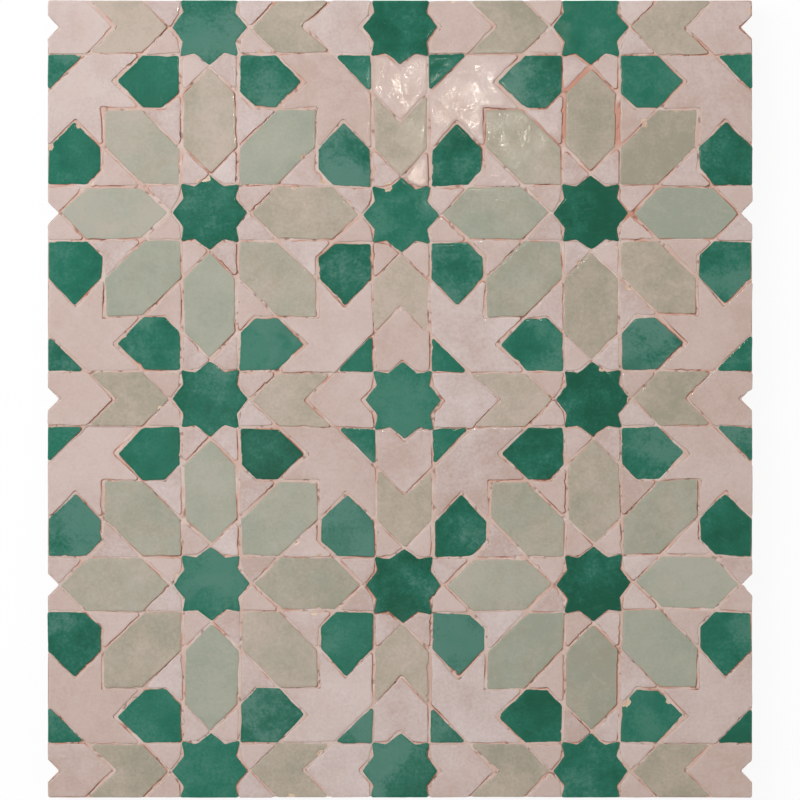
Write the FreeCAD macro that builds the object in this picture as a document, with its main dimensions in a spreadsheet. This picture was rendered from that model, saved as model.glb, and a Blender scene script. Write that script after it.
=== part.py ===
import FreeCAD, Part
import os
from math import cos, pi, sin, sqrt

import Sketcher

# A zellige mosaic panel: hand-cut glazed chips of one eight-pointed star pattern, set in one bed of mortar.
# It lies on its flat back, glazed face up. X runs across the panel, Y along it, and the origin is the
# middle of the back.

# The driving dimensions, in millimetres.
SIZES = {
    "strip_width": 26.0,  # across the flats of a star's square, and of every strip between two stars
    "joint_across": 2.4,  # joint between chips that lie side by side along X
    "joint_along": 1.7,  # joint between chips that follow one another along Y
    "chip_depth": 10.0,  # fired clay and its glaze, from back to face
    "back_draw": 1.0,  # how far a chip's side leans in from its face to its back
    "arris": 0.45,  # the glaze's rounded edge, as wide as it is high
    "bed_back": 6.0,  # mortar under the chips
    "joint_recess": 0.6,  # from the glaze down to the top of a joint
    "back_overhang": 0.3,  # how far the border chips' backs stand out past the side of the mortar
}

# The pattern is drawn with half a strip and its joint as 1. All its lines run at 0, 45 or 90 degrees.
TIP = sqrt(2)  # a star's point, from its centre
NECK = TIP - 1  # where a star's two squares cross, off the axis
SHOULDER = TIP + 1  # where a strip reaches its full width
PITCH = 2 * TIP + 4  # from one star to the next
FAR_SIDE = PITCH - 1  # the next star's near side
FAR_TIP = PITCH - TIP  # the next star's near point
FAR_SHOULDER = PITCH - SHOULDER
KNEE = PITCH - 3  # where three chips meet inside a square of the pattern

# The same lengths as expressions on the sheet's sizes.
HALF_ACROSS = "(Sizes.strip_width + Sizes.joint_across) / 2"
HALF_ALONG = "(Sizes.strip_width + Sizes.joint_along) / 2"
# Every chip is cut to the template of the tighter joint, and the wider joint only spreads the chips.
HALF_TEMPLATE = HALF_ALONG
HALF_JOINT = "Sizes.joint_along / 2"
ROUGH_HALF = 14  # where a corner is first put, before the sheet moves it


def star_outline():
    """Two squares on one centre, one turned by 45 degrees, counter-clockwise from the point on +X."""
    neck_radius = 1 / cos(pi / 8)
    return [
        ((TIP if step % 2 == 0 else neck_radius) * cos(step * pi / 8),
         (TIP if step % 2 == 0 else neck_radius) * sin(step * pi / 8))
        for step in range(16)
    ]


def level(outline):
    """The same chip laid along X: mirrored in the diagonal, and kept counter-clockwise."""
    return [(y, x) for x, y in reversed(outline)]


STAR = star_outline()
# A border star has lost its lower point, and the two necks beside it lie in one line with its corners.
BORDER_STAR = STAR[:11] + STAR[14:]
HEXAGON = [
    (0, TIP), (1, SHOULDER), (1, FAR_SHOULDER), (0, FAR_TIP), (-1, FAR_SHOULDER), (-1, SHOULDER),
]
CHEVRON = [(0, TIP), (1, SHOULDER), (1, SHOULDER + 2), (0, TIP + 2), (-1, SHOULDER + 2), (-1, SHOULDER)]
ARROW = [
    (0, TIP + 2), (1, SHOULDER + 2), (1, FAR_SIDE), (NECK, FAR_SIDE),
    (0, FAR_TIP), (-NECK, FAR_SIDE), (-1, FAR_SIDE), (-1, SHOULDER + 2),
]
POINT_FILLER = [(0, TIP), (NECK, 1), (1, 1), (1, SHOULDER)]
SLANTED_HEXAGON = [(1, 1), (SHOULDER, 1), (KNEE, SHOULDER), (KNEE, KNEE), (SHOULDER, KNEE), (1, SHOULDER)]
KITE = [
    (FAR_SHOULDER, 1), (FAR_SIDE, 1), (FAR_SIDE, SHOULDER),
    (KNEE + 1, SHOULDER + 1), (KNEE, SHOULDER), (KNEE, 3 - TIP),
]
DART = [(SHOULDER, 1), (FAR_SHOULDER, 1), (KNEE, 3 - TIP), (KNEE, SHOULDER)]
ELBOW = [
    (KNEE, SHOULDER), (KNEE + 1, SHOULDER + 1), (FAR_SIDE, SHOULDER), (FAR_SIDE, FAR_SHOULDER),
    (FAR_SHOULDER, FAR_SIDE), (SHOULDER, FAR_SIDE), (SHOULDER + 1, KNEE + 1), (SHOULDER, KNEE), (KNEE, KNEE),
]
CORNER_TRIANGLE = [(FAR_SIDE, FAR_SIDE), (FAR_SHOULDER, FAR_SIDE), (FAR_SIDE, FAR_SHOULDER)]

# How a chip repeats along one axis: the star it is measured from, counted in pitches from the middle of
# the panel, then how many times it is laid, every how many pitches, and whether it is mirrored too.
EVERY_STAR = (-1, 3, 1, False)
EVERY_STRIP = (-2, 4, 1, False)
EVERY_STAR_BOTH_SIDES = (-2, 4, 1, True)
EVERY_SQUARE = (-1, 2, 2, True)
OUTER_LINES = (-1, 2, 2, False)
MIDDLE_LINE = (0, 1, 1, False)
MIDDLE_BOTH_SIDES = (0, 1, 1, True)
EVEN_LINES = (-2, 3, 2, False)
EVEN_BOTH_SIDES = (-2, 3, 2, True)
TOP_AND_BOTTOM = (-2, 1, 1, True)

# Each kind of chip: its outline, how it repeats across the panel, and how it repeats along it.
CHIPS = {
    "stars": (STAR, EVERY_STAR, EVERY_STAR),
    "border_stars": (BORDER_STAR, EVERY_STAR, TOP_AND_BOTTOM),
    "upright_hexagons": (HEXAGON, OUTER_LINES, EVERY_STRIP),
    "level_hexagons": (level(HEXAGON), EVERY_STRIP, OUTER_LINES),
    "slanted_hexagons": (SLANTED_HEXAGON, EVERY_SQUARE, EVERY_SQUARE),
    "upright_chevrons": (CHEVRON, MIDDLE_LINE, EVERY_SQUARE),
    "level_chevrons": (level(CHEVRON), EVERY_SQUARE, EVEN_LINES),
    "upright_arrows": (ARROW, MIDDLE_LINE, EVERY_SQUARE),
    "level_arrows": (level(ARROW), EVERY_SQUARE, EVEN_LINES),
    "upright_kites": (KITE, EVERY_SQUARE, EVERY_SQUARE),
    "level_kites": (level(KITE), EVERY_SQUARE, EVERY_SQUARE),
    "upright_darts": (DART, EVERY_SQUARE, EVERY_SQUARE),
    "level_darts": (level(DART), EVERY_SQUARE, EVERY_SQUARE),
    "elbows": (ELBOW, EVERY_SQUARE, EVERY_SQUARE),
    "corner_triangles": (CORNER_TRIANGLE, EVERY_SQUARE, EVERY_SQUARE),
    "hexagon_side_fillers": (POINT_FILLER, EVERY_SQUARE, EVERY_STAR_BOTH_SIDES),
    "hexagon_end_fillers": (level(POINT_FILLER), EVERY_STAR_BOTH_SIDES, EVERY_SQUARE),
    "chevron_side_fillers": (POINT_FILLER, MIDDLE_BOTH_SIDES, EVERY_SQUARE),
    "chevron_end_fillers": (level(POINT_FILLER), EVERY_SQUARE, EVEN_BOTH_SIDES),
}


def middle_of(outline):
    """The middle of an outline's extent, where a chip is centred in its place."""
    across = [x for x, y in outline]
    along = [y for x, y in outline]
    return (min(across) + max(across)) / 2, (min(along) + max(along)) / 2


def inward_shifts(outline, mirrored=False):
    """How far each corner moves when every side of a counter-clockwise outline moves in by 1.

    Of a mirrored outline, the sides that lie on the mirror planes stay where they are.
    """
    shifts = []
    for index, corner in enumerate(outline):
        before = outline[index - 1]
        after = outline[(index + 1) % len(outline)]
        sides = []
        for start, end in ((before, corner), (corner, after)):
            run = (end[0] - start[0], end[1] - start[1])
            length = sqrt(run[0] ** 2 + run[1] ** 2)
            on_plane = start[0] == end[0] == 0 or start[1] == end[1] == 0
            sides.append((-run[1] / length, run[0] / length, 0 if mirrored and on_plane else 1))
        (first_x, first_y, first), (second_x, second_y, second) = sides
        turn = first_x * second_y - first_y * second_x
        shifts.append((
            (first * second_y - second * first_y) / turn,
            (second * first_x - first * second_x) / turn,
        ))
    return shifts


def origin_feature(body, role):
    """One of a body's own origin planes or axes."""
    return next(feature for feature in body.Origin.OriginFeatures if feature.Role == role)


def outline_sketch(body, name, outline, scales, insets, seat, height, mirrored=False):
    """A closed outline, moved in by its insets, whose every corner is bound to the sheet.

    Scales and insets are given along X and along Y.
    """
    sketch = body.newObject("Sketcher::SketchObject", name)
    sketch.AttachmentSupport = [(origin_feature(body, "XY_Plane"), "")]
    sketch.MapMode = "FlatFace"
    for axis, place in zip("xyz", (*seat, height)):
        sketch.setExpression(f"AttachmentOffset.Base.{axis}", place)

    middle = (0, 0) if mirrored else middle_of(outline)
    corners = [FreeCAD.Vector(x - middle[0], y - middle[1], 0) * ROUGH_HALF for x, y in outline]
    count = len(corners)
    for index in range(count):
        sketch.addGeometry(Part.LineSegment(corners[index], corners[(index + 1) % count]))
    for index in range(count):
        sketch.addConstraint(Sketcher.Constraint("Coincident", index, 2, (index + 1) % count, 1))
    for index, (corner, shift) in enumerate(zip(outline, inward_shifts(outline, mirrored))):
        for axis in range(2):
            kind = ("DistanceX", "DistanceY")[axis]
            start = corners[index][axis]
            number = sketch.addConstraint(Sketcher.Constraint(kind, -1, 1, index, 1, start))
            place = corner[axis] - middle[axis]
            sketch.setExpression(
                f"Constraints[{number}]",
                f"{place:.9f} * {scales[axis]} + {shift[axis]:.9f} * ({insets[axis]})",
            )
    return sketch


def faces_that(shape, test):
    """The names of a shape's faces that pass a test."""
    return [f"Face{number}" for number, face in enumerate(shape.Faces, start=1) if test(face)]


def is_top(face):
    return face.normalAt(0, 0).z > 0.9


def is_side(face):
    return abs(face.normalAt(0, 0).z) < 0.1


def lay(body, across, along):
    """Repeats a body's chip over the panel by rows, columns and mirror planes."""
    chip = body.Tip
    steps = []
    for repeat, axis, plane, half in (
        (across, "X_Axis", "YZ_Plane", HALF_ACROSS),
        (along, "Y_Axis", "XZ_Plane", HALF_ALONG),
    ):
        home, count, pitches, mirrored = repeat
        if count > 1:
            row = body.newObject("PartDesign::LinearPattern", f"{body.Name}_{axis}_row")
            row.Direction = (origin_feature(body, axis), [""])
            row.Mode = "Spacing"
            row.Occurrences = count
            row.setExpression("Offset", f"{pitches * PITCH:.9f} * {half}")
            steps.append(row)
        if mirrored:
            mirror = body.newObject("PartDesign::Mirrored", f"{body.Name}_{plane}_mirror")
            mirror.MirrorPlane = (origin_feature(body, plane), [""])
            steps.append(mirror)
    laid = body.newObject("PartDesign::MultiTransform", f"{body.Name}_laid")
    laid.TransformMode = "Whole shape"
    laid.Transformations = steps
    laid.BaseFeature = chip
    body.Tip = laid


def build_chips(doc, name, outline, across, along):
    """One kind of chip, cut face up: its face's outline, its leaning sides, its arris, and its places."""
    body = doc.addObject("PartDesign::Body", name)
    body.Label = name
    middle = middle_of(outline)
    seat = (
        f"{middle[0] + across[0] * PITCH:.9f} * {HALF_ACROSS}",
        f"{middle[1] + along[0] * PITCH:.9f} * {HALF_ALONG}",
    )
    face_outline = outline_sketch(
        body, f"{name}_face", outline, (HALF_TEMPLATE, HALF_TEMPLATE), (HALF_JOINT, HALF_JOINT), seat,
        "Sizes.bed_back + Sizes.chip_depth",
    )
    blank = body.newObject("PartDesign::Pad", f"{name}_blank")
    blank.Profile = face_outline
    blank.Reversed = True
    blank.setExpression("Length", "Sizes.chip_depth")
    doc.recompute()

    cut = body.newObject("PartDesign::Draft", f"{name}_cut")
    cut.Base = (blank, faces_that(blank.Shape, is_side))
    cut.NeutralPlane = (blank, faces_that(blank.Shape, is_top))
    cut.Reversed = True
    cut.setExpression("Angle", "atan(Sizes.back_draw / Sizes.chip_depth)")
    doc.recompute()

    arris = body.newObject("PartDesign::Chamfer", f"{name}_arris")
    arris.Base = (cut, faces_that(cut.Shape, is_top))
    arris.setExpression("Size", "Sizes.arris")
    lay(body, across, along)
    return body


def bed_outline():
    """A quarter of the panel on the lines of the pattern, with a notch for each star beside it."""
    side = 2 * PITCH - 1
    notch = 2 * PITCH - TIP
    end = 2 * PITCH + 1
    outline = [(0, 0), (notch, 0), (side, NECK)]
    for row in (1, 2):
        star = row * PITCH
        outline += [(side, star - NECK), (notch, star), (side, star + NECK)]
    return outline + [(side, end), (0, end)]


def build_bed(doc, chips):
    """The mortar: a quarter slab up to the joints' tops, less the chips' pockets, mirrored both ways."""
    bed = doc.addObject("PartDesign::Body", "mortar_bed")
    bed.Label = "mortar_bed"
    behind_backs = f"{HALF_JOINT} + Sizes.back_draw + Sizes.back_overhang"
    # The wider joints leave the border arrows, centred in their places, a little further in than the line.
    arrow_reach = FAR_SIDE - middle_of(ARROW)[1]
    outline = outline_sketch(
        bed, "mortar_outline", bed_outline(), (HALF_ACROSS, HALF_ALONG),
        (f"{behind_backs} + {arrow_reach:.9f} * ({HALF_ACROSS} - {HALF_TEMPLATE})", behind_backs),
        ("0", "0"), "0", mirrored=True,
    )
    slab = bed.newObject("PartDesign::Pad", "mortar_slab")
    slab.Profile = outline
    slab.setExpression("Length", "Sizes.bed_back + Sizes.chip_depth - Sizes.joint_recess")

    pockets = bed.newObject("PartDesign::Boolean", "chip_pockets")
    pockets.Type = "Cut"
    pockets.Refine = False
    pockets.setObjects(chips)
    mirrors = []
    for plane in ("YZ_Plane", "XZ_Plane"):
        mirror = bed.newObject("PartDesign::Mirrored", f"mortar_{plane}_mirror")
        mirror.MirrorPlane = (origin_feature(bed, plane), [""])
        mirrors.append(mirror)
    whole = bed.newObject("PartDesign::MultiTransform", "mortar_whole")
    whole.TransformMode = "Whole shape"
    whole.Refine = False
    whole.Transformations = mirrors
    whole.BaseFeature = pockets
    bed.Tip = whole
    return bed


def write_parts(doc, parts):
    """Recomputes, stops on anything that failed, and writes one STEP file for each node."""
    doc.recompute()
    for item in doc.Objects:
        if "Invalid" in item.State or "Error" in item.State:
            raise RuntimeError(f"{item.Name} did not compute: {item.State}")
    shapes = {part.Label: part.Shape for part in parts}
    for name, shape in shapes.items():
        if shape.isNull() or not shape.isValid():
            raise RuntimeError(f"{name} has no valid shape")
    os.makedirs("parts", exist_ok=True)
    for name, shape in shapes.items():
        shape.exportStep(f"parts/{name}.step")
        print(f"{name}: {shape.Volume / 1000:.1f} cm3")


def main():
    doc = FreeCAD.newDocument("ZelligePanel")
    sheet = doc.addObject("Spreadsheet::Sheet", "Sizes")
    for row, (name, value) in enumerate(SIZES.items(), start=1):
        sheet.set(f"A{row}", name)
        sheet.set(f"B{row}", str(value))
        sheet.setAlias(f"B{row}", name)
    doc.recompute()

    chips = [build_chips(doc, name, *layout) for name, layout in CHIPS.items()]
    bed = build_bed(doc, chips)
    write_parts(doc, chips + [bed])


main()
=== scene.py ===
import random
from math import cos, exp, pi, radians, sin, tan

import bmesh
import bpy
import numpy as np
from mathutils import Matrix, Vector, kdtree, noise
from mathutils.geometry import delaunay_2d_cdt


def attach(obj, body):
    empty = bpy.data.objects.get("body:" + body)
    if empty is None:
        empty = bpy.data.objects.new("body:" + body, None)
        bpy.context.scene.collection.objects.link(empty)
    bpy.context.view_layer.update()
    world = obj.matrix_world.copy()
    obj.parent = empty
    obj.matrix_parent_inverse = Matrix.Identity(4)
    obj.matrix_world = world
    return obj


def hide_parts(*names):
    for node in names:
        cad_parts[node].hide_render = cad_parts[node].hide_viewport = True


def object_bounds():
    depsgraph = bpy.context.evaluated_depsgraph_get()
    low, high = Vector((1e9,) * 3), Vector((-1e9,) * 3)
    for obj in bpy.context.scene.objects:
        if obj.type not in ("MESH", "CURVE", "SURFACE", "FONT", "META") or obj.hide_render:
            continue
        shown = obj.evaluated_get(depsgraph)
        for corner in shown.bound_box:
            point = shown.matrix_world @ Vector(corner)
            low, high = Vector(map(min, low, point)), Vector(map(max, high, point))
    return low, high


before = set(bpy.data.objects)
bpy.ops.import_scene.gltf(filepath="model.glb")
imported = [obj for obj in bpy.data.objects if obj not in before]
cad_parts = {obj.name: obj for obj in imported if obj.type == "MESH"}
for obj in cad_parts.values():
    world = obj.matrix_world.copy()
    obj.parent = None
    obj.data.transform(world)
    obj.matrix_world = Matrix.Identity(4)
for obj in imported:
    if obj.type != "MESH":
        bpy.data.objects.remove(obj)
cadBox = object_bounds()
mm = 0.001

# where things lie in the photograph, and how its pixels turn into millimetres on the panel
photo = {
    "pixel": 0.5085,
    "middle": (400, 399),
    "worstFlakes": {
        (390, 190): 1.9,
        (209, 181): 2.2,
        (628, 704): 2.6,
        (322, 181): 2.4,
        (515, 88): 1.6,
    },
    "slimChips": {(585, 118): 0.75, (432, 476): 0.3, (222, 170): 0.3, (209, 399): -0.5},
    # chips given a paler tone; on the green ones this is a painted reflection haze of the panes overhead
    "paleChips": (
        (359, 439), (154, 715), (342, 531), (209, 585), (359, 731), (458, 639), (265, 343), (342, 159),
        (125, 27), (400, 296), (114, 213), (226, 174), (193, 67), (67, 27), (441, 731), (265, 715), (400, 764),
        (549, 311), (607, 624), (169, 415), (226, 67), (209, 120), (209, 492),
    ),
    "deepChips": (
        (591, 585), (591, 399), (591, 213), (535, 715), (724, 531), (458, 159), (740, 731),
        (591, 678), (686, 213), (523, 651), (741, 601), (550, 601), (632, 487), (658, 147), (209, 678),
        (523, 279), (441, 359), (400, 34),
    ),
    "glints": ((400, 85), (430, 72), (515, 62), (468, 108), (413, 172)),
    "dullChips": ((400, 34), (458, 159)),
    "tintedChips": (  # sage chips that lean to grey-green, and pink ones that lean to peach
        (142, 147), (277, 519), (142, 279), (209, 492), (495, 585), (209, 678), (607, 545), (741, 601),
        (441, 601), (574, 359), (574, 439), (631, 197), (607, 67), (226, 731),
    ),
    "plainChips": (
        (591, 678), (591, 120), (591, 492), (209, 120), (277, 651), (675, 399), (125, 771), (251, 487),
        (359, 569), (607, 731), (169, 11), (109, 254),
    ),
    "darkSeams": {  # where the joints are darkest beside a chip, from one end to the other: a real crevice with painted shadow in it, on the chips' shaded sides only
        "leftArrow": ((90, 421), (112, 400)),
        "lowerRightHexagon": ((626, 515), (653, 485)),
        "lowestHexagon": ((618, 697), (617, 635)),
        "middleStar": ((366, 588), (382, 562)),
        "lowerChevron": ((373, 674), (379, 646)),
        "slimHexagonLeft": ((557, 148), (557, 120)),
        "slimHexagonRight": ((612, 143), (616, 116)),
        "leftChevron": ((258, 388), (277, 372)),
        "topChevron": ((255, 26), (268, 8)),
        "cornerKite": ((732, 672), (749, 658)),
        "rightKite": ((653, 377), (683, 343)),
        "uprightHexagon": ((224, 343), (236, 325)),
        "longJoint": ((233, 180), (236, 120)),
    },
    "rustyJoints": {(557, 120): 16, (575, 78): 14, (614, 125): 14, (628, 210): 8},
    "drift": {  # where the rows wander: the middle of it, then how far right, down and around, in pixels
        "middle": ((460, 500), (4.6, 0.3), 170),
        "lowerLeft": ((250, 640), (2.8, -2.0), 110),
        "lowerRight": ((680, 590), (2.0, -3.5), 100),
        "upperMiddle": ((400, 190), (1.2, 2.7), 80),
        "centre": ((400, 455), (1.0, 2.5), 75),
        "right": ((690, 330), (0.0, -2.5), 70),
        "left": ((120, 300), (1.2, -0.8), 110),
    },
}


def onPanel(pixel):
    return Vector((
        (pixel[0] - photo["middle"][0]) * photo["pixel"],
        (photo["middle"][1] - pixel[1]) * photo["pixel"],
    ))


class Wire:  # a socket: sums on it add Math nodes
    def __init__(self, tree, socket=None):
        self.tree = tree
        self.socket = socket

    def node(self, kind, settings=None, inputs=None, output=0):
        made = self.tree.nodes.new(kind)
        for name, value in (settings or {}).items():
            setattr(made, name, value)
        for name, value in (inputs or {}).items():
            if isinstance(value, Wire):
                self.tree.links.new(value.socket, made.inputs[name])
            else:
                made.inputs[name].default_value = value
        return Wire(self.tree, made.outputs[output] if made.outputs else None)

    def math(self, operation, first, second=0.0):
        return self.node("ShaderNodeMath", {"operation": operation}, {0: first, 1: second})

    def __add__(self, other):
        return self.math("ADD", self, other)

    def __radd__(self, other):
        return self.math("ADD", other, self)

    def __sub__(self, other):
        return self.math("SUBTRACT", self, other)

    def __rsub__(self, other):
        return self.math("SUBTRACT", other, self)

    def __mul__(self, other):
        return self.math("MULTIPLY", self, other)

    def __rmul__(self, other):
        return self.math("MULTIPLY", other, self)

    def between(self, low, high):  # 0 at low, 1 at high, smooth between
        return self.node(
            "ShaderNodeMapRange", {"interpolation_type": "SMOOTHSTEP"},
            {"Value": self, "From Min": low, "From Max": high},
        )

    def mixed(self, first, second):  # a colour from first to second, by this value
        return self.node("ShaderNodeMix", {"data_type": "RGBA"}, {0: self, 6: first, 7: second}, 2)


def linear(code):  # "#RRGGBB" as the linear colour that a socket takes
    parts = [int(code[place:place + 2], 16) / 255 for place in (1, 3, 5)]
    return tuple(c / 12.92 if c <= 0.04045 else ((c + 0.055) / 1.055) ** 2.4 for c in parts) + (1,)


def newMaterial(name):
    material = bpy.data.materials.new(name)
    material.use_nodes = True
    tree = material.node_tree
    tree.nodes.clear()
    return material, Wire(tree)


def finishMaterial(start, shader):
    start.node("ShaderNodeOutputMaterial", None, {"Surface": shader})


def fromMesh(start, name, output="Fac"):
    made = start.node("ShaderNodeAttribute", {"attribute_name": name})
    return Wire(start.tree, made.socket.node.outputs[output])


def placeInMm(start):
    geometry = start.node("ShaderNodeNewGeometry")
    return start.node("ShaderNodeVectorMath", {"operation": "SCALE"}, {0: geometry, "Scale": 1 / mm})


def cloud(place, size, detail=2.0, roughness=0.5, distortion=0.0):  # noise of 0 to 1, size in mm
    return place.node(
        "ShaderNodeTexNoise", None,
        {"Vector": place, "Scale": 1 / size, "Detail": detail, "Roughness": roughness, "Distortion": distortion},
    )


chipCut = {
    "step": 0.9,  # mm between points along a chip's edge
    "cornerShift": 0.5,  # how far hand cutting moves a corner
    "borderShift": 0.08,
    "driftFade": 30.0,  # mm from the panel's edge over which the rows come true again
    "cornerRadius": (0.26, 0.55),
    "vary": 0.3,  # how much fuller or slimmer than its kind a chip was cut
    "narrowest": 0.45,  # the least joint left between two chips
    "hug": 0.9,  # how much closer a notch was cut to the tip that it takes
    "waver": 0.6,
    "borderWaver": 0.15,
    "waverSize": 8.0,
    "nicksPerChip": (1, 6),
    "nickDepth": (0.12, 0.6),
    "nickRadius": (0.8, 2.4),
    "turn": 0.55,  # degrees
    "slide": 0.28,
}
chipKinds = {  # by the end of a node's name: how full it was cut, and the most that a corner goes out
    "stars": {"grow": 0.05, "mostOut": 0.15},
    "kites": {"grow": -0.45, "mostOut": 0.5},
    "triangles": {"grow": 0.0, "mostOut": 0.6},
    "hexagons": {"grow": -0.35, "mostOut": 0.6},
    "chevrons": {"grow": -0.1, "mostOut": 0.6},
    "arrows": {"grow": 0.2, "mostOut": 0.7},
    "darts": {"grow": 0.2, "mostOut": 0.7},
    "elbows": {"grow": 0.2, "mostOut": 0.7},
    "fillers": {"grow": 0.0, "mostOut": 0.45},
}
starCut = {  # the stars were cut blunter than the pattern, and what lies round them gives way
    "square": 1.0,  # how far the upright square's sides stand out
    "blunt": 2.2,  # and its inner corners move along them
    "near": 20.5,  # mm from a star's centre
    "nearMostOut": 0.3,
    "notched": 17.5,
    "giveWay": 0.9,
}
chipFace = {
    "grid": 1.6,  # mm between points on the glaze
    "flakeGrid": 0.55,
    "tilt": 0.55,  # degrees
    "lift": 0.14,
    "waves": ((17.0, 0.1), (6.5, 0.05)),  # size and height of the glaze's undulation
    "rounding": ((0.0, 0.2), (0.1, 0.05), (0.28, 0.0)),  # in from the edge, and down from the face
    "flakeShare": 0.1,  # of the chips have lost a flake of glaze at their edge
    "flakeRadius": (0.9, 1.9),
    "flakeDepth": 0.28,
}
chipSide = {
    "lean": 1.0,
    "chisel": 0.9,
    "foot": 6.0,
    "face": 16.0,
}


def chipOutlines(node):  # each chip's edge below its arris, in mm, counter-clockwise
    cap = bmesh.new()
    cap.from_mesh(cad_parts[node].data)
    bmesh.ops.remove_doubles(cap, verts=cap.verts, dist=1e-6)
    footOfArris = (chipSide["face"] - 0.5) * mm
    below = [face for face in cap.faces if min(vert.co.z for vert in face.verts) < footOfArris]
    bmesh.ops.delete(cap, geom=below, context="FACES")
    outlines = []
    seen = set()
    for vert in cap.verts:
        if vert in seen or not any(edge.is_boundary for edge in vert.link_edges):
            continue
        loop = []
        while vert is not None and vert not in seen:
            seen.add(vert)
            loop.append(Vector(vert.co.xy) / mm)
            ahead = [edge.other_vert(vert) for edge in vert.link_edges if edge.is_boundary]
            vert = next((other for other in ahead if other not in seen), None)
        area = sum(loop[i - 1].cross(loop[i]) for i in range(len(loop)))
        outlines.append(loop if area > 0 else loop[::-1])
    cap.free()
    return outlines


def drifted(point):  # where the setter's rows really put a point of the pattern
    moved = point.copy()
    for middle, shift, reach in photo["drift"].values():
        away = (point - onPanel(middle)).length / (reach * photo["pixel"])
        moved += Vector((shift[0], -shift[1])) * photo["pixel"] * exp(-away * away)
    room = min(cadBox[1][axis] / mm - abs(point[axis]) for axis in (0, 1))
    return point.lerp(moved, min(1.0, max(0.0, room / chipCut["driftFade"])))


def starCentre(corners):
    east = max(corners, key=lambda corner: corner.x)
    west = min(corners, key=lambda corner: corner.x)
    return Vector(((east.x + west.x) / 2, east.y))


def bluntStar(corners):
    centre = starCentre(corners)
    blunter = []
    for corner in corners:
        arm = corner - centre
        signs = Vector((1 if arm.x > 0 else -1, 1 if arm.y > 0 else -1))
        longer, shorter = (0, 1) if abs(arm.x) > abs(arm.y) else (1, 0)
        moved = corner.copy()
        if abs(corner.y) > cadBox[1][1] / mm - 1:  # cut off at the panel's edge
            moved.x += signs.x * starCut["square"]
        elif abs(arm[shorter]) > 1:  # not one of the slanted square's points
            moved[longer] += signs[longer] * starCut["square"]
            diagonal = abs(arm[longer]) - abs(arm[shorter]) < 1
            moved[shorter] += signs[shorter] * starCut["square" if diagonal else "blunt"]
        blunter.append(moved)
    return blunter


def outwards(ring):  # the unit normal at each point of a counter-clockwise ring
    normals = []
    for index in range(len(ring)):
        run = ring[(index + 1) % len(ring)] - ring[index - 1]
        normals.append(Vector((run.y, -run.x)).normalized())
    return normals


def eased(normals):  # the same normals, turned a little towards their neighbours
    count = len(normals)
    return [
        (normals[i - 1] + normals[i] * 2 + normals[(i + 1) % count]).normalized() for i in range(count)
    ]


def roundedRing(corners, radius, step, counts=None):  # counts, to lay as many points on each side as another
    ring = []
    arcs = []
    counts = counts or []
    for index, corner in enumerate(corners):
        back = corners[index - 1] - corner
        ahead = corners[(index + 1) % len(corners)] - corner
        half = back.angle(ahead) / 2
        if half > radians(85):  # a point on a straight side
            arcs.append([corner])
            continue
        reach = min(radius / tan(half), 0.4 * back.length, 0.4 * ahead.length)
        centre = corner + (back.normalized() + ahead.normalized()).normalized() * reach / cos(half)
        start = corner + back.normalized() * reach - centre
        end = corner + ahead.normalized() * reach - centre
        count = max(1, round((pi - 2 * half) / (pi / 5)))
        arcs.append([centre + start.slerp(end, k / count) for k in range(count + 1)])
    for index, arc in enumerate(arcs):
        ring += arc
        following = arcs[(index + 1) % len(arcs)][0]
        if len(counts) <= index:
            counts.append(max(1, round((following - arc[-1]).length / step)))
        ring += [arc[-1].lerp(following, k / counts[index]) for k in range(1, counts[index])]
    return ring, counts


def shrunken(corners, inset):  # a polygon's corners after its sides move in
    moved = []
    for index, corner in enumerate(corners):
        run = (corner - corners[index - 1]).normalized()
        ahead = (corners[(index + 1) % len(corners)] - corner).normalized()
        inward = Vector((-run.y - ahead.y, run.x + ahead.x)).normalized()
        moved.append(corner + inward * inset / max(0.3, inward.dot(Vector((-run.y, run.x)))))
    return moved


def inside(points, ring):  # which points lie inside a ring, as numpy arrays
    x, y = points[:, 0:1], points[:, 1:2]
    x1, y1 = ring[:, 0], ring[:, 1]
    x2, y2 = np.roll(x1, -1), np.roll(y1, -1)
    spans = (y1 > y) != (y2 > y)
    rise = np.where(y2 == y1, 1e-9, y2 - y1)
    crossings = spans & (x < (x2 - x1) * (y - y1) / rise + x1)
    return crossings.sum(axis=1) % 2 == 1


def nearest(points, ring):  # the distance from each point to a ring's sides
    start = ring[None, :, :]
    run = (np.roll(ring, -1, axis=0) - ring)[None, :, :]
    offset = points[:, None, :] - start
    part = np.clip((offset * run).sum(axis=2) / np.maximum((run * run).sum(axis=2), 1e-12), 0, 1)
    return np.linalg.norm(offset - part[..., None] * run, axis=2).min(axis=1)


view = {"lens": 130, "sensor": 36, "glintLamp": (0.07, 0.31, 1.5)}
view["camera"] = (
    0.0,
    (photo["middle"][1] - 400) * photo["pixel"] * mm,
    (chipSide["face"] + 800 * photo["pixel"] * view["lens"] / view["sensor"]) * mm,
)


def mirroring(point):  # the slopes at which a place on the panel mirrors the glint lamp to the camera
    spot = Vector((*point, chipSide["face"])) * mm
    half = (Vector(view["glintLamp"]) - spot).normalized() + (Vector(view["camera"]) - spot).normalized()
    return [-half.x / half.z, -half.y / half.z]


rims = {}  # points along the edges of the chips cut so far, by the square millimetre


def crowding(point):  # how much too close a point lies to the chips cut before it
    closest = 1.2
    short = 0.0
    for x in (-1, 0, 1):
        for y in (-1, 0, 1):
            for other, out in rims.get((round(point.x) + x, round(point.y) + y), ()):
                if (point - other).length < closest:
                    closest = (point - other).length
                    short = chipCut["narrowest"] - (point - other).dot(out)
    return max(0.0, short)


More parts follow.
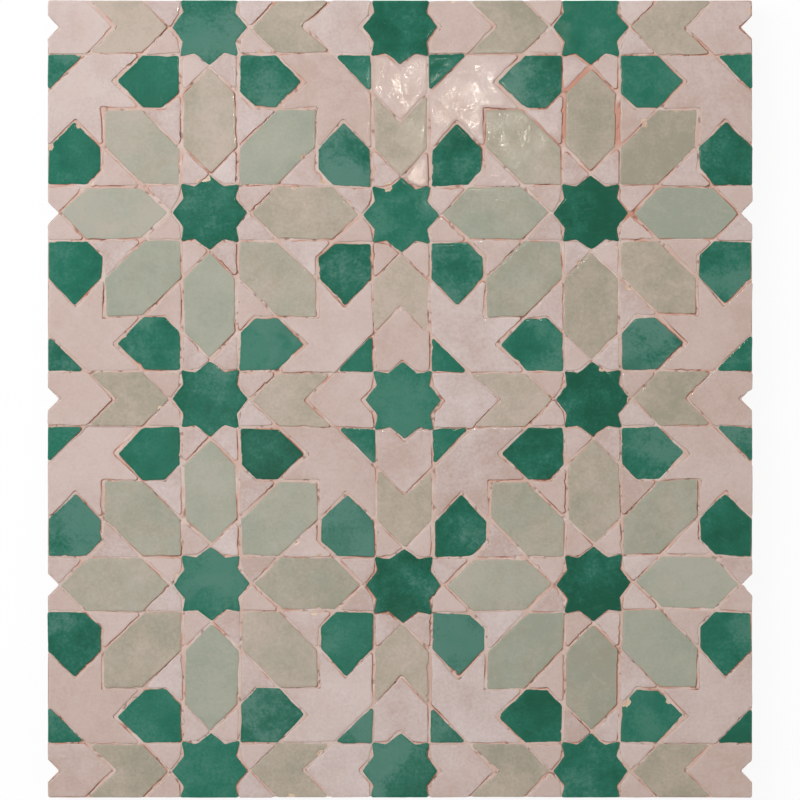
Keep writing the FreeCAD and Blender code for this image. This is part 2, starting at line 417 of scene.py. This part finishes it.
class Chip:  # one hand-cut chip: its outline, the flakes it has lost and the lie of its face
    def __init__(self, corners, number, kind, roughness=1.0):
        self.number = number
        self.rng = rng = random.Random(number * 7919 + 5)
        self.centre = sum(corners, Vector((0, 0))) / len(corners)
        turn = radians(rng.uniform(-chipCut["turn"], chipCut["turn"]))
        slide = Vector((rng.uniform(-1, 1), rng.uniform(-1, 1))) * chipCut["slide"]
        moved = []
        isStar = len(corners) > 12
        self.fullness = random.Random(number * 17 + 3).uniform(-1, 1) * chipCut["vary"]
        for corner, cut, out in zip(corners, bluntStar(corners) if isStar else corners, outwards(corners)):
            grow = kind["grow"] - self.slimness(corners) + (0 if isStar else self.fullness)
            mostOut = kind["mostOut"]
            star = min(starCentres, key=lambda centre: (centre - corner).length)
            if not isStar and (corner - star).length < starCut["near"]:
                grow = min(grow, 0.0)
                mostOut = starCut["nearMostOut"]
                if (corner - star).length < starCut["notched"]:
                    cut = corner + (corner - star).normalized() * starCut["giveWay"]
            elif not isStar and self.isNotch(corners, corner):
                grow += chipCut["hug"]
                mostOut += chipCut["hug"] * 0.5
            arm = corner - self.centre
            swing = Vector((-arm.y, arm.x)) * turn
            angle = rng.uniform(0, 2 * pi)
            shift = Vector((cos(angle), sin(angle))) * chipCut["cornerShift"] * rng.random() ** 0.5
            step = swing + slide + shift
            step *= min(1, mostOut / max(step.length, 1e-6))
            beyond = step.dot(out) + grow - mostOut
            spot = drifted(cut) + step + out * (grow - max(0.0, beyond))
            for axis in (0, 1):  # the panel's border was ground straight
                reach = cadBox[1][axis] / mm + rng.uniform(-1, 1) * chipCut["borderShift"]
                spot[axis] = min(reach, max(-reach, spot[axis]))
            moved.append(spot)
        self.corners = moved
        ring, counts = roundedRing(moved, rng.uniform(*chipCut["cornerRadius"]), chipCut["step"])
        self.back = roundedRing(shrunken(moved, chipSide["lean"]), 0.2, chipCut["step"], counts)[0]
        self.flakes = self.chooseFlakes(ring)
        nicks = [
            (rng.choice(ring), rng.uniform(*chipCut["nickRadius"]), rng.uniform(*chipCut["nickDepth"]))
            for _ in range(rng.randint(*chipCut["nicksPerChip"]))
        ]
        nicks += [(centre, radius * 0.8, 0.35) for centre, radius in self.flakes]
        self.ring = []
        for point, out in zip(ring, outwards(ring)):
            spot = Vector((*(point / chipCut["waverSize"]), number * 3.7))
            push = noise.noise(spot) * chipCut["waver"] + noise.noise(spot * 4) * chipCut["waver"] * 0.4
            for centre, radius, depth in nicks:
                away = (point - centre).length / radius
                if away < 1:
                    push -= depth * (1 - away * away) ** 2
            if min(cadBox[1][axis] / mm - abs(point[axis]) for axis in (0, 1)) < 0.8:
                push *= chipCut["borderWaver"]
            cut = point + out * min(push * roughness, 0.1)
            self.ring.append(cut - out * crowding(cut))
        self.normals = eased(outwards(self.ring))
        self.tilt = [tan(radians(rng.gauss(0, chipFace["tilt"]))) for _ in range(2)]
        for pixel in photo["glints"]:
            if self.holds(corners, [pixel]):
                self.tilt = mirroring(onPanel(pixel))
        if self.holds(corners, photo["dullChips"]):
            self.tilt = [-slope for slope in mirroring(self.centre)]
        self.lift = rng.uniform(-1, 1) * chipFace["lift"]
        self.tone = rng.uniform(-1, 1) * 0.8
        # on green chips, the named pale chips' paler tone is a painted reflection haze
        self.tone += 1.0 * self.holds(corners, photo["paleChips"]) - 1.0 * self.holds(corners, photo["deepChips"])
        self.tone = min(1.1, max(-1.1, self.tone))
        self.tint = rng.uniform(-1, 1)
        self.tint += 1.0 * self.holds(corners, photo["tintedChips"]) - 1.0 * self.holds(corners, photo["plainChips"])
        self.cast = [rng.uniform(-500, 500) for _ in range(3)]
        self.grain = rng.uniform(0, 2 * pi)

    def isNotch(self, corners, corner):
        index = corners.index(corner)
        run = corner - corners[index - 1]
        ahead = corners[(index + 1) % len(corners)] - corner
        return run.normalized().cross(ahead.normalized()) < -0.3

    def holds(self, corners, pixels):  # whether one of these places in the photograph lies on this chip
        outline = np.array([tuple(corner) for corner in corners])
        return inside(np.array([tuple(onPanel(pixel)) for pixel in pixels]), outline).any()

    def slimness(self, corners):  # how much slimmer this chip was cut than its place
        for pixel, slimmer in photo["slimChips"].items():
            if self.holds(corners, [pixel]):
                return slimmer
        return 0.0

    def chooseFlakes(self, ring):
        flakes = []
        for pixel, radius in photo["worstFlakes"].items():
            spot = onPanel(pixel)
            close = min(ring, key=lambda point: (point - spot).length)
            if (close - spot).length < 2.5:
                flakes.append((close, radius))
        if self.rng.random() < chipFace["flakeShare"]:
            for _ in range(self.rng.randint(1, 2)):
                flakes.append((self.rng.choice(ring), self.rng.uniform(*chipFace["flakeRadius"])))
        return flakes

    def flakeAt(self, point):  # 1 inside a lost flake, 0 outside
        worst = 0.0
        for centre, radius in self.flakes:
            ragged = 1 + 0.5 * noise.noise(Vector((point.x, point.y, 9.0)) * 0.9)
            away = (point - centre).length / (radius * ragged)
            worst = max(worst, min(1, max(0, (1.15 - away) / 0.3)))
        return worst

    def heightAt(self, point, drop=0.0):
        arm = point - self.centre
        height = chipSide["face"] + self.lift + arm.x * self.tilt[0] + arm.y * self.tilt[1]
        for size, amount in chipFace["waves"]:
            height += noise.noise(Vector((point.x / size, point.y / size, self.number * 5.3))) * amount
        return height - drop - self.flakeAt(point) * chipFace["flakeDepth"]

    def inset(self, amount):
        return [point - out * amount for point, out in zip(self.ring, self.normals)]

    def gridPoints(self, border):
        low, high = border.min(axis=0), border.max(axis=0)
        spacing = chipFace["grid"]
        points = []
        rows = int((high[1] - low[1]) / (spacing * 0.866)) + 1
        columns = int((high[0] - low[0]) / spacing) + 2
        for row in range(rows):
            for column in range(columns):
                x = low[0] + (column + 0.5 * (row % 2)) * spacing
                points.append((x, low[1] + row * spacing * 0.866))
        fine = chipFace["flakeGrid"]
        for centre, radius in self.flakes:
            reach = int(radius * 1.7 / fine)
            for row in range(-reach, reach + 1):
                for column in range(-reach, reach + 1):
                    points.append((centre.x + (column + 0.5 * (row % 2)) * fine, centre.y + row * fine * 0.866))
        points = np.array(points) + np.random.default_rng(self.number).uniform(-0.2, 0.2, (len(points), 2)) * fine
        points = points[inside(points, border)]
        points = points[nearest(points, border) > 0.35]
        grid = {}
        for x, y in points:  # where the two grids meet, one point stands for both
            grid.setdefault((round(x / (fine * 0.7)), round(y / (fine * 0.7))), (x, y))
        return np.array(list(grid.values())).reshape(-1, 2)


class Sheet:  # gathers points, faces and point values, and becomes one mesh object
    def __init__(self, names):
        self.points = []
        self.faces = []
        self.slots = []
        self.values = {name: [] for name in names}

    def add(self, x, y, z, **values):
        self.points.append((x * mm, y * mm, z * mm))
        for name, kept in self.values.items():
            kept.append(values.get(name, 0.0))
        return len(self.points) - 1

    def band(self, lower, upper, slot):  # a closed strip between two rings of as many points
        for index in range(len(lower)):
            after = (index + 1) % len(lower)
            self.faces.append((lower[index], lower[after], upper[after], upper[index]))
            self.slots.append(slot)

    def make(self, name, materials, sharp):
        mesh = bpy.data.meshes.new(name)
        mesh.from_pydata(self.points, [], self.faces)
        for material in materials:
            mesh.materials.append(material)
        mesh.polygons.foreach_set("material_index", self.slots)
        mesh.polygons.foreach_set("use_smooth", [True] * len(self.faces))
        for title, kept in self.values.items():
            if isinstance(kept[0], list):
                flat = [number for vector in kept for number in vector]
                mesh.attributes.new(title, "FLOAT_VECTOR", "POINT").data.foreach_set("vector", flat)
            else:
                mesh.attributes.new(title, "FLOAT", "POINT").data.foreach_set("value", kept)
        mesh.update()
        mesh.set_sharp_from_angle(angle=radians(sharp))
        piece = bpy.data.objects.new(name, mesh)
        bpy.context.scene.collection.objects.link(piece)
        return piece


def addChip(sheet, chip):
    common = {"tone": chip.tone, "tint": chip.tint, "cast": chip.cast, "grain": chip.grain}
    rings = []
    foot = chipSide["foot"]
    depth = chipSide["face"] - foot
    for up, rough in ((0.0, 0.0), (0.45, 1.0)):  # the back, and a chiselled line half way up the side
        ring = []
        for point, back in zip(chip.ring, chip.back):
            bite = noise.noise(Vector((point.x / 3, point.y / 3, chip.number))) * chipSide["chisel"] * rough
            moved = back.lerp(point, min(1.0, up - bite))
            ring.append(sheet.add(moved.x, moved.y, foot + depth * up, **common))
        rings.append(ring)
    for inset, drop in chipFace["rounding"]:
        ring = []
        for point in chip.inset(inset):
            values = {"rim": 1 - inset / 0.9, "flake": chip.flakeAt(point)}
            ring.append(sheet.add(point.x, point.y, chip.heightAt(point, drop), **values, **common))
        rings.append(ring)
    sheet.faces.append(tuple(reversed(rings[0])))
    sheet.slots.append(1)
    for index in range(len(rings) - 1):
        sheet.band(rings[index], rings[index + 1], 1 if index < 2 else 0)

    points, faces, origins, rooms = chip.glaze
    numbers = []
    for point, origin, room in zip(points, origins, rooms):
        if origin < len(chip.ring):
            numbers.append(rings[-1][origin])
        else:
            values = {"rim": 0.5 * max(0.0, 1 - room / 1.2), "flake": chip.flakeAt(point)}
            numbers.append(sheet.add(point.x, point.y, chip.heightAt(point), **values, **common))
    for face in faces:
        sheet.faces.append(tuple(numbers[index] for index in face))
        sheet.slots.append(0)


def cutChip(corners, number, kind):  # tries a gentler cut where a rough one would tangle the glaze's edge
    for roughness in (1.0, 0.7, 0.4, 0.0):
        chip = Chip(corners, number, kind, roughness)
        border = np.array([tuple(point) for point in chip.inset(chipFace["rounding"][-1][0])])
        flat = np.concatenate([border, chip.gridPoints(border)])
        loop = list(range(len(border)))
        points, _, faces, origins, _, _ = delaunay_2d_cdt([Vector(p) for p in flat], [], [loop], 1, 1e-6)
        kept = [origin[0] for origin in origins if len(origin) == 1]
        if len(kept) == len(points) and set(loop) <= set(kept):
            chip.glaze = (points, faces, kept, nearest(np.array([tuple(p) for p in points]), border))
            return chip
    raise RuntimeError(f"chip {number} can't be glazed to its edge")


firedClay = {"pale": "#D9C2A8", "dark": "#B99477", "sand": "#8F6B52"}


def clayColour(start, place):
    patches = cloud(place, 6.0, 3.0).between(0.35, 0.7)
    grains = cloud(place, 0.5, 2.0).between(0.62, 0.72)
    return (grains * 0.5).mixed(patches.mixed(linear(firedClay["pale"]), linear(firedClay["dark"])),
                                linear(firedClay["sand"]))


def makeClay():
    material, start = newMaterial("fired_clay")
    place = placeInMm(start)
    height = cloud(place, 1.4, 4.0, 0.65)
    bump = start.node("ShaderNodeBump", None, {"Strength": 0.7, "Distance": 0.4 * mm, "Height": height})
    finishMaterial(start, start.node("ShaderNodeBsdfPrincipled", None, {
        "Base Color": clayColour(start, place), "Roughness": 0.9, "Normal": bump,
    }))
    return material


greenGlaze = {
    "deep": "#064F39", "main": "#1A624E", "pale": "#4E7A6B", "tint": "#1F7059",
    "speck": "#0B3B2D", "speckShare": 0.4, "rim": "#2C7360", "untinted": [],
    "chipTone": 0.5, "broad": 2.2, "patchy": 1.0, "fine": 1.6, "paintedSheenStreak": 0.2, "paintedReflection": 0.5,
    "roughness": (0.05, 0.15),
}
sageGlaze = {
    "deep": "#97907E", "main": "#AB9E8D", "pale": "#BAA99B", "tint": "#909F8F",
    "speck": "#86775F", "speckShare": 0.45, "rim": "#B5A795", "untinted": ["upright_chevrons", "level_chevrons"],
    "chipTone": 0.45, "broad": 1.3, "patchy": 1.0, "fine": 1.5, "paintedSheenStreak": 0.25, "paintedReflection": 0.2,
    "roughness": (0.06, 0.2),
}
pinkGlaze = {
    "deep": "#B59D92", "main": "#C2AFA9", "pale": "#CDBDB7", "tint": "#C0A699",
    "speck": "#A08574", "speckShare": 0.4, "rim": "#D2BCB0", "untinted": [],
    "chipTone": 0.4, "broad": 1.5, "patchy": 1.0, "fine": 1.7, "paintedSheenStreak": 0.2, "paintedReflection": 0.15,
    "roughness": (0.06, 0.22),
}


def makeGlaze(name, look):
    material, start = newMaterial(name)
    tone = fromMesh(start, "tone")
    tint = fromMesh(start, "tint")
    rim = fromMesh(start, "rim")
    flake = fromMesh(start, "flake")
    place = placeInMm(start)
    own = start.node(  # each chip was cut from another tile, so no pattern runs on over a joint
        "ShaderNodeVectorMath", {"operation": "ADD"}, {0: place, 1: fromMesh(start, "cast", "Vector")},
    )
    turned = start.node("ShaderNodeVectorRotate", {"rotation_type": "Z_AXIS"},
                        {"Vector": own, "Angle": fromMesh(start, "grain")})
    combed = start.node("ShaderNodeVectorMath", {"operation": "MULTIPLY"}, {0: turned, 1: (1.0, 0.25, 1.0)})

    # the glaze pooled and thinned as it ran, in broad areas, in patches and in fine mottling
    shade = tone * look["chipTone"] + (cloud(own, 22.0, 1.0, 0.4) - 0.5) * look["broad"]
    shade = shade + (cloud(own, 6.0, 2.0, 0.5, 0.4) - 0.5) * look["patchy"]
    shade = shade + (cloud(own, 1.6, 3.0, 0.7) - 0.5) * look["fine"]
    colour = shade.between(-0.75, 0.15).mixed(linear(look["deep"]), linear(look["main"]))
    colour = shade.between(-0.1, 0.75).mixed(colour, linear(look["pale"]))
    tinted = cloud(own, 12.0, 2.0) * 0.5 + tint * 0.35
    colour = (tinted.between(0.0, 0.5) * 0.5).mixed(colour, linear(look["tint"]))
    paintedReflection = cloud(own, 17.0, 1.0, 0.4, 0.4).between(0.48, 0.58) * tone.between(0.35, 1.0)  # painted reflection: a pale veil with wavy edges, as of a bright window mirrored on the paler chips
    colour = (paintedReflection * look["paintedReflection"]).mixed(colour, linear(look["pale"]))
    # painted sheen: lighter combed streaks mixed towards the pale colour
    paintedSheenStreaks = cloud(combed, 2.6, 3.0, 0.6).between(0.55, 0.8)
    colour = (paintedSheenStreaks * look["paintedSheenStreak"]).mixed(colour, linear(look["pale"]))
    specks = cloud(own, 0.62, 1.0).between(0.70, 0.76)
    colour = (specks * look["speckShare"]).mixed(colour, linear(look["speck"]))
    # lighter stretches along the chips' rims: glaze thinned at the edge, and partly a painted highlight on the arris
    paleRimAndHighlight = rim.between(0.45, 1.0) * cloud(place, 5.0, 3.0).between(0.4, 0.6)
    colour = (paleRimAndHighlight * 0.3).mixed(colour, linear(look["rim"]))
    colour = flake.between(0.35, 0.6).mixed(colour, clayColour(start, place))

    smooth, dull = look["roughness"]
    roughness = smooth + (dull - smooth) * cloud(own, 6.0, 3.0).between(0.3, 0.75)
    roughness = roughness + flake * 0.5
    peel = cloud(own, 1.5, 2.0, 0.4)
    pits = cloud(own, 1.3, 0.0).between(0.76, 0.82)
    bump = start.node("ShaderNodeBump", None, {
        "Strength": 1.0, "Distance": 0.035 * mm, "Height": peel - pits * 2.0,
    })
    finishMaterial(start, start.node("ShaderNodeBsdfPrincipled", None, {
        "Base Color": colour, "Roughness": roughness, "Normal": bump, "Specular IOR Level": 0.36,
    }))
    return material


looks = {"green_glaze": greenGlaze, "sage_glaze": sageGlaze, "pink_glaze": pinkGlaze}
glazes = {name: makeGlaze(name, look) for name, look in looks.items()}
clay = makeClay()
chipNodes = {
    "green_glaze": ["stars", "border_stars", "upright_kites", "level_kites", "corner_triangles"],
    "sage_glaze": [
        "upright_hexagons", "level_hexagons", "slanted_hexagons", "upright_chevrons", "level_chevrons",
    ],
    "pink_glaze": [
        "upright_arrows", "level_arrows", "upright_darts", "level_darts", "elbows",
        "hexagon_side_fillers", "hexagon_end_fillers", "chevron_side_fillers", "chevron_end_fillers",
    ],
}

starCentres = [starCentre(corners) for node in ("stars", "border_stars") for corners in chipOutlines(node)]
chips = []
for glaze, nodes in chipNodes.items():
    for node in nodes:
        kind = next(kind for name, kind in chipKinds.items() if node.endswith(name))
        sheet = Sheet(["tone", "tint", "grain", "rim", "flake", "cast"])
        for corners in chipOutlines(node):
            chip = cutChip(corners, len(chips) + 1, kind)
            if node in looks[glaze]["untinted"]:
                chip.tint = -1.0
            addChip(sheet, chip)
            chips.append(chip)
            for point, out in zip(chip.ring, chip.normals):
                rims.setdefault((round(point.x), round(point.y)), []).append((point, out))
        piece = sheet.make(f"glazed_{node}", [glazes[glaze], clay], 50)
        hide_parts(node)
        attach(piece, "root")
print(f"chips: {len(chips)} cut")


mortar = {
    "rings": (0.03, 0.42, 0.85),  # mm out from a chip's edge
    "level": 15.66,  # height of a joint's top
    "sag": 0.2,  # how much that varies over the panel
    "grain": 0.07,
    "crevice": 0.35,  # depth where the mortar has shrunk from a chip
    "seams": -0.1,  # more of it, more seams
    "seamChips": 0.12,  # how much chips differ in this
    "shadedSide": (0.9, -0.42),  # the way the chips' shaded sides face, away from the left lamp; most seams lie on those sides, so they are partly painted shade
    "shadedSidePull": 0.34,
    "seamFade": (1.0, 0.85, 0.1),  # how far a seam reaches, ring by ring
    "seamReach": 1.6,
    "spread": 1.3,  # how far it was smeared out over the bed's own edge
    "notchFill": 2.2,
    "pits": 0.5,
    "pocketInset": 0.3,
    "pocketLip": 15.3,
    "floorInset": 1.5,
    "sideStep": 2.0,
    "sideRough": 0.35,
}


def mortarOutline():  # the edge of the bed's back, in mm, counter-clockwise
    back = bmesh.new()
    back.from_mesh(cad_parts["mortar_bed"].data)
    bmesh.ops.remove_doubles(back, verts=back.verts, dist=1e-6)
    above = [face for face in back.faces if max(vert.co.z for vert in face.verts) > 0.1 * mm]
    bmesh.ops.delete(back, geom=above, context="FACES")
    vert = next(v for v in back.verts if any(edge.is_boundary for edge in v.link_edges))
    loop = []
    seen = set()
    while vert is not None:
        seen.add(vert)
        loop.append(Vector(vert.co.xy) / mm)
        ahead = [edge.other_vert(vert) for edge in vert.link_edges if edge.is_boundary]
        vert = next((other for other in ahead if other not in seen), None)
    back.free()
    area = sum(loop[i - 1].cross(loop[i]) for i in range(len(loop)))
    return loop if area > 0 else loop[::-1]


def strokeDistance(point, ends):
    start, end = (onPanel(pixel) for pixel in ends)
    run = end - start
    part = min(1.0, max(0.0, (point - start).dot(run) / run.length_squared))
    return (point - start - run * part).length


def seamAt(point, normal, number):  # 0 to 1.5: how far the mortar has come away from a chip, and more on the chips' sides turned from the left lamp, where it paints shade
    broad = noise.noise(Vector((point.x / 21, point.y / 21, number * 3.3)))
    fine = noise.noise(Vector((point.x / 8, point.y / 8, number * 5.1)))
    own = random.Random(number * 31 + 7).uniform(-1, 1) * mortar["seamChips"]
    turnedFromLamp = normal.dot(Vector(mortar["shadedSide"])) * mortar["shadedSidePull"]
    away = min(1.5, max(0.0, (broad + fine * 0.8 + own + turnedFromLamp + mortar["seams"]) / 0.45))
    if turnedFromLamp > 0 and min(strokeDistance(point, ends) for ends in photo["darkSeams"].values()) < mortar["seamReach"]:
        return 1.4
    return away


def pitAt(x, y):  # 0 to 1: small holes that the trowel left
    return min(1.0, max(0.0, (noise.noise(Vector((x / 1.9, y / 1.9, 4.4))) - 0.42) / 0.14))


def rustAt(point):  # 0 to 1: where the joints show terracotta
    near = (1 - (point - onPanel(pixel)).length / reach for pixel, reach in photo["rustyJoints"].items())
    return max(0.0, *near)


def jointHeight(x, y):
    swell = noise.noise(Vector((x / 13, y / 13, 1.3))) * mortar["sag"]
    grain = noise.noise(Vector((x / 1.1, y / 1.1, 5.9))) * mortar["grain"]
    return mortar["level"] + swell + grain - pitAt(x, y) * mortar["pits"]


def layMortar():
    outline = mortarOutline()
    smeared = shrunken(outline, -mortar["spread"])
    for index, corner in enumerate(outline):
        run = corner - outline[index - 1]
        ahead = outline[(index + 1) % len(outline)] - corner
        if run.normalized().cross(ahead.normalized()) < -0.2:  # the bottom of a notch
            smeared[index] += (smeared[index] - corner).normalized() * mortar["notchFill"]
    rim = roundedRing(smeared, 0.4, mortar["sideStep"])[0]
    edge = [
        point + out * noise.noise(Vector((point.x / 9, point.y / 9, 2.0))) * mortar["sideRough"] * 0.3
        for point, out in zip(rim, outwards(rim))
    ]
    rings = kdtree.KDTree(sum(len(chip.ring) for chip in chips) * 2)
    owner = []
    for number, chip in enumerate(chips):
        for index, point in enumerate(chip.ring):
            for spot in (point, point.lerp(chip.ring[index - 1], 0.5)):
                rings.insert((spot.x, spot.y, 0), len(owner))
                owner.append(number)
    rings.balance()

    flat = list(edge)
    loops = [list(range(len(edge)))]
    kind = [0] * len(edge)  # 0 the bed's edge, 1 a pocket's lip, 2 a pocket's floor, then the joint's rings
    for chip in chips:
        lip = chip.inset(mortar["pocketInset"])[::3]
        loops.append(list(range(len(flat), len(flat) + len(lip))))
        flat += lip
        kind += [1] * len(lip)
        floor = shrunken(chip.corners, mortar["floorInset"])
        loops.append(list(range(len(flat), len(flat) + len(floor))))
        flat += floor
        kind += [2] * len(floor)
    border = np.array([tuple(point) for point in edge])
    taken = set()
    cracks = [0.0] * len(flat)
    for turn, out in enumerate(mortar["rings"]):
        candidates = []
        loose = []
        for number, chip in enumerate(chips):
            for point, normal in zip(chip.ring, chip.normals):
                spot = point + normal * out
                others = rings.find_range((spot.x, spot.y, 0), max(0.3, out * 0.8))
                if any(owner[index] != number or gap < out * 0.75 for _, index, gap in others):
                    continue
                cell = (round(spot.x / 0.3), round(spot.y / 0.3))
                if cell not in taken:
                    taken.add(cell)
                    candidates.append(spot)
                    loose.append(seamAt(spot, normal, number) * mortar["seamFade"][turn])
        spots = np.array([tuple(point) for point in candidates])
        kept = inside(spots, border)
        kept &= nearestInParts(spots, border) > 0.5
        flat += [spot for spot, keep in zip(candidates, kept) if keep]
        cracks += [crack for crack, keep in zip(loose, kept) if keep]
        kind += [3 + turn] * int(kept.sum())
    print(f"mortar: {len(flat)} points to join")

    points, _, faces, origins, _, owners = delaunay_2d_cdt(flat, [], loops, 1, 1e-6)
    sheet = Sheet(["gap", "seam", "pit", "rust"])
    numbers = []
    pocketOf = {}
    for face, owned in zip(faces, owners):
        deepest = max(owned)
        for index in face:
            pocketOf.setdefault(index, set()).add(0 if deepest == 0 else 1 + (deepest - 1) % 2)
    for index, (point, origin) in enumerate(zip(points, origins)):
        regions = pocketOf.get(index, {0})
        kinds = {kind[o] for o in origin}
        away = max((cracks[o] for o in origin), default=0.0)
        gap = 0.0
        if 2 in regions:
            height = chipSide["foot"]
        elif 1 in regions:
            height = mortar["pocketLip"]
        else:
            height = jointHeight(point.x, point.y)
            ringNumber = min([k - 3 for k in kinds if k >= 3], default=1)
            gap = mortar["rings"][ringNumber]
            height -= max(0.0, away - 0.5) * mortar["crevice"]
        values = {"gap": gap, "seam": away, "pit": pitAt(point.x, point.y), "rust": rustAt(point)}
        numbers.append(sheet.add(point.x, point.y, height, **values))
    for face in faces:
        sheet.faces.append(tuple(numbers[index] for index in face))
        sheet.slots.append(0)

    ends = {}
    sides = {}
    for face in faces:
        for index in range(len(face)):
            sides[(face[index], face[(index + 1) % len(face)])] = True
    for start, end in sides:
        if (end, start) not in sides:
            ends[start] = end
    first = next(iter(ends))
    around = [first]
    while ends[around[-1]] != first:
        around.append(ends[around[-1]])
    upper = [numbers[index] for index in around]
    for part in (0.8, 0.55, 0.3, 0.0):
        lower = []
        for index, number in zip(around, [numbers[i] for i in around]):
            x, y, z = (value / mm for value in sheet.points[number])
            spot = Vector((x / 4, y / 4, z * part / 4))
            out = Vector((x, y)).normalized() * noise.noise(spot) * mortar["sideRough"] * (1 if part else 0)
            lower.append(sheet.add(x + out.x, y + out.y, z * part, gap=1.0))
        sheet.band(lower, upper, 0)
        upper = lower
    foot = [Vector(sheet.points[number][:2]) / mm for number in upper]
    _, _, faces, origins, _, _ = delaunay_2d_cdt(foot, [], [list(range(len(foot)))], 1, 1e-7)
    for face in faces:
        sheet.faces.append(tuple(upper[origins[index][0]] for index in reversed(face)))
        sheet.slots.append(0)
    return sheet


def nearestInParts(points, ring):
    return np.concatenate([nearest(part, ring) for part in np.array_split(points, max(1, len(points) // 500))])


jointLook = {
    "main": "#C6AB9E", "pale": "#CEBAB0", "core": "#C2A08F", "sand": "#B59683",
    "seam": "#C08C78", "dark": "#7E4C3D", "rust": "#BD8069",
}


def makeMortar():
    material, start = newMaterial("mortar")
    place = placeInMm(start)
    gap = fromMesh(start, "gap")
    seam = fromMesh(start, "seam")
    pit = fromMesh(start, "pit")
    patches = cloud(place, 12.0, 3.0).between(0.38, 0.66)
    colour = patches.mixed(linear(jointLook["main"]), linear(jointLook["pale"]))
    core = cloud(place, 7.0, 2.0).between(0.42, 0.62) * gap.between(0.35, 0.6)
    colour = (core * 0.6).mixed(colour, linear(jointLook["core"]))
    grains = cloud(place, 0.45, 2.0).between(0.58, 0.7)
    colour = (grains * 0.3).mixed(colour, linear(jointLook["sand"]))
    colour = (fromMesh(start, "rust").between(0.0, 0.5) * 0.8).mixed(colour, linear(jointLook["rust"]))
    # salmon and dark seam colours beside the chips: partly the mortar's gap, partly painted shade on the sides
    # turned from the left lamp
    colour = (seam.between(0.05, 0.7) * 0.85).mixed(colour, linear(jointLook["seam"]))
    colour = (seam.between(1.0, 1.45) * 0.75).mixed(colour, linear(jointLook["dark"]))
    # painted shade in the pits, half way to the dark colour
    colour = (pit * 0.5).mixed(colour, linear(jointLook["dark"]))
    height = cloud(place, 0.9, 4.0, 0.65)
    bump = start.node("ShaderNodeBump", None, {"Strength": 0.8, "Distance": 0.3 * mm, "Height": height})
    finishMaterial(start, start.node("ShaderNodeBsdfPrincipled", None, {
        "Base Color": colour, "Roughness": 0.92, "Normal": bump,
    }))
    return material


joints = layMortar().make("mortar_and_joints", [makeMortar()], 60)
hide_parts("mortar_bed")
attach(joints, "root")
print(f"mortar: {len(joints.data.polygons)} faces laid")


studio = {
    "floorColour": 0.86,
    "floorGlow": 0.9,
    "world": 0.52,
    "paneHeight": 1.5,
    "glintLamp": {"size": (0.03, 0.04), "power": 0.28, "colour": (1.0, 0.93, 0.8)},
    "panes": {  # dim windows overhead that some of the glaze mirrors
        "lower": {"place": (-0.11, -0.27), "size": (0.38, 0.18)},
        "middle": {"place": (-0.13, -0.03), "size": (0.26, 0.2)},
        "upper": {"place": (-0.2, 0.28), "size": (0.22, 0.15)},
    },
    "paneGlow": 0.4,
    "softLamps": {
        "left": {"place": (-1.0, 0.5, 0.95), "size": 0.9, "power": 13, "colour": (0.95, 1.0, 1.08)},
        "right": {"place": (1.1, 0.1, 1.3), "size": 1.3, "power": 4, "colour": (1.03, 0.97, 0.84)},
        "head": {"place": (-0.2, 1.3, 1.2), "size": 1.4, "power": 6, "colour": (1.0, 1.0, 1.0)},
    },
}


def makeFloor():
    bpy.ops.mesh.primitive_plane_add(size=6)
    floor = bpy.context.object
    floor.name = "floor"
    floor.location.z = -0.1 * mm
    material, start = newMaterial("white_floor")
    ray = start.node("ShaderNodeLightPath")
    sees = start.math("MAXIMUM", ray, Wire(start.tree, ray.socket.node.outputs["Is Glossy Ray"]))
    matt = start.node("ShaderNodeBsdfDiffuse", None, {"Color": (*[studio["floorColour"]] * 3, 1)})
    glow = start.node("ShaderNodeEmission", None, {"Color": (1, 1, 1, 1), "Strength": 1.0})
    finishMaterial(start, start.node("ShaderNodeMixShader", None, {
        0: sees * studio["floorGlow"], 1: matt, 2: glow,
    }))
    floor.data.materials.append(material)


def addLamp(name, place, size, power, colour=(1, 1, 1)):
    lamp = bpy.data.lights.new(name, "AREA")
    lamp.energy = power
    lamp.color = colour
    lamp.shape = "RECTANGLE"
    lamp.size, lamp.size_y = size
    holder = bpy.data.objects.new(name, lamp)
    holder.location = place
    holder.rotation_euler = (Vector((0, 0, 0)) - Vector(place)).to_track_quat("-Z", "Y").to_euler()
    bpy.context.scene.collection.objects.link(holder)
    return holder


makeFloor()
glint = studio["glintLamp"]
sparkle = addLamp("glint_lamp", view["glintLamp"], glint["size"], glint["power"], glint["colour"])
sparkle.visible_diffuse = False  # only the glaze's mirrored glints come from it
for name, pane in studio["panes"].items():
    area = pane["size"][0] * pane["size"][1]
    addLamp(f"{name}_pane", (*pane["place"], studio["paneHeight"]), pane["size"], studio["paneGlow"] * pi * area)
for name, lamp in studio["softLamps"].items():
    addLamp(f"{name}_lamp", lamp["place"], (lamp["size"], lamp["size"]), lamp["power"], lamp["colour"])

world = bpy.data.worlds.new("studio")
world.use_nodes = True
world.node_tree.nodes["Background"].inputs["Color"].default_value = (1, 1, 1, 1)
world.node_tree.nodes["Background"].inputs["Strength"].default_value = studio["world"]
bpy.context.scene.world = world

lens = bpy.data.cameras.new("camera")
lens.lens = view["lens"]
lens.sensor_width = view["sensor"]
camera = bpy.data.objects.new("camera", lens)
camera.location = view["camera"]
bpy.context.scene.collection.objects.link(camera)
bpy.context.scene.camera = camera
bpy.context.scene.view_settings.view_transform = "Standard"
print("studio: floor, lamps and camera set")
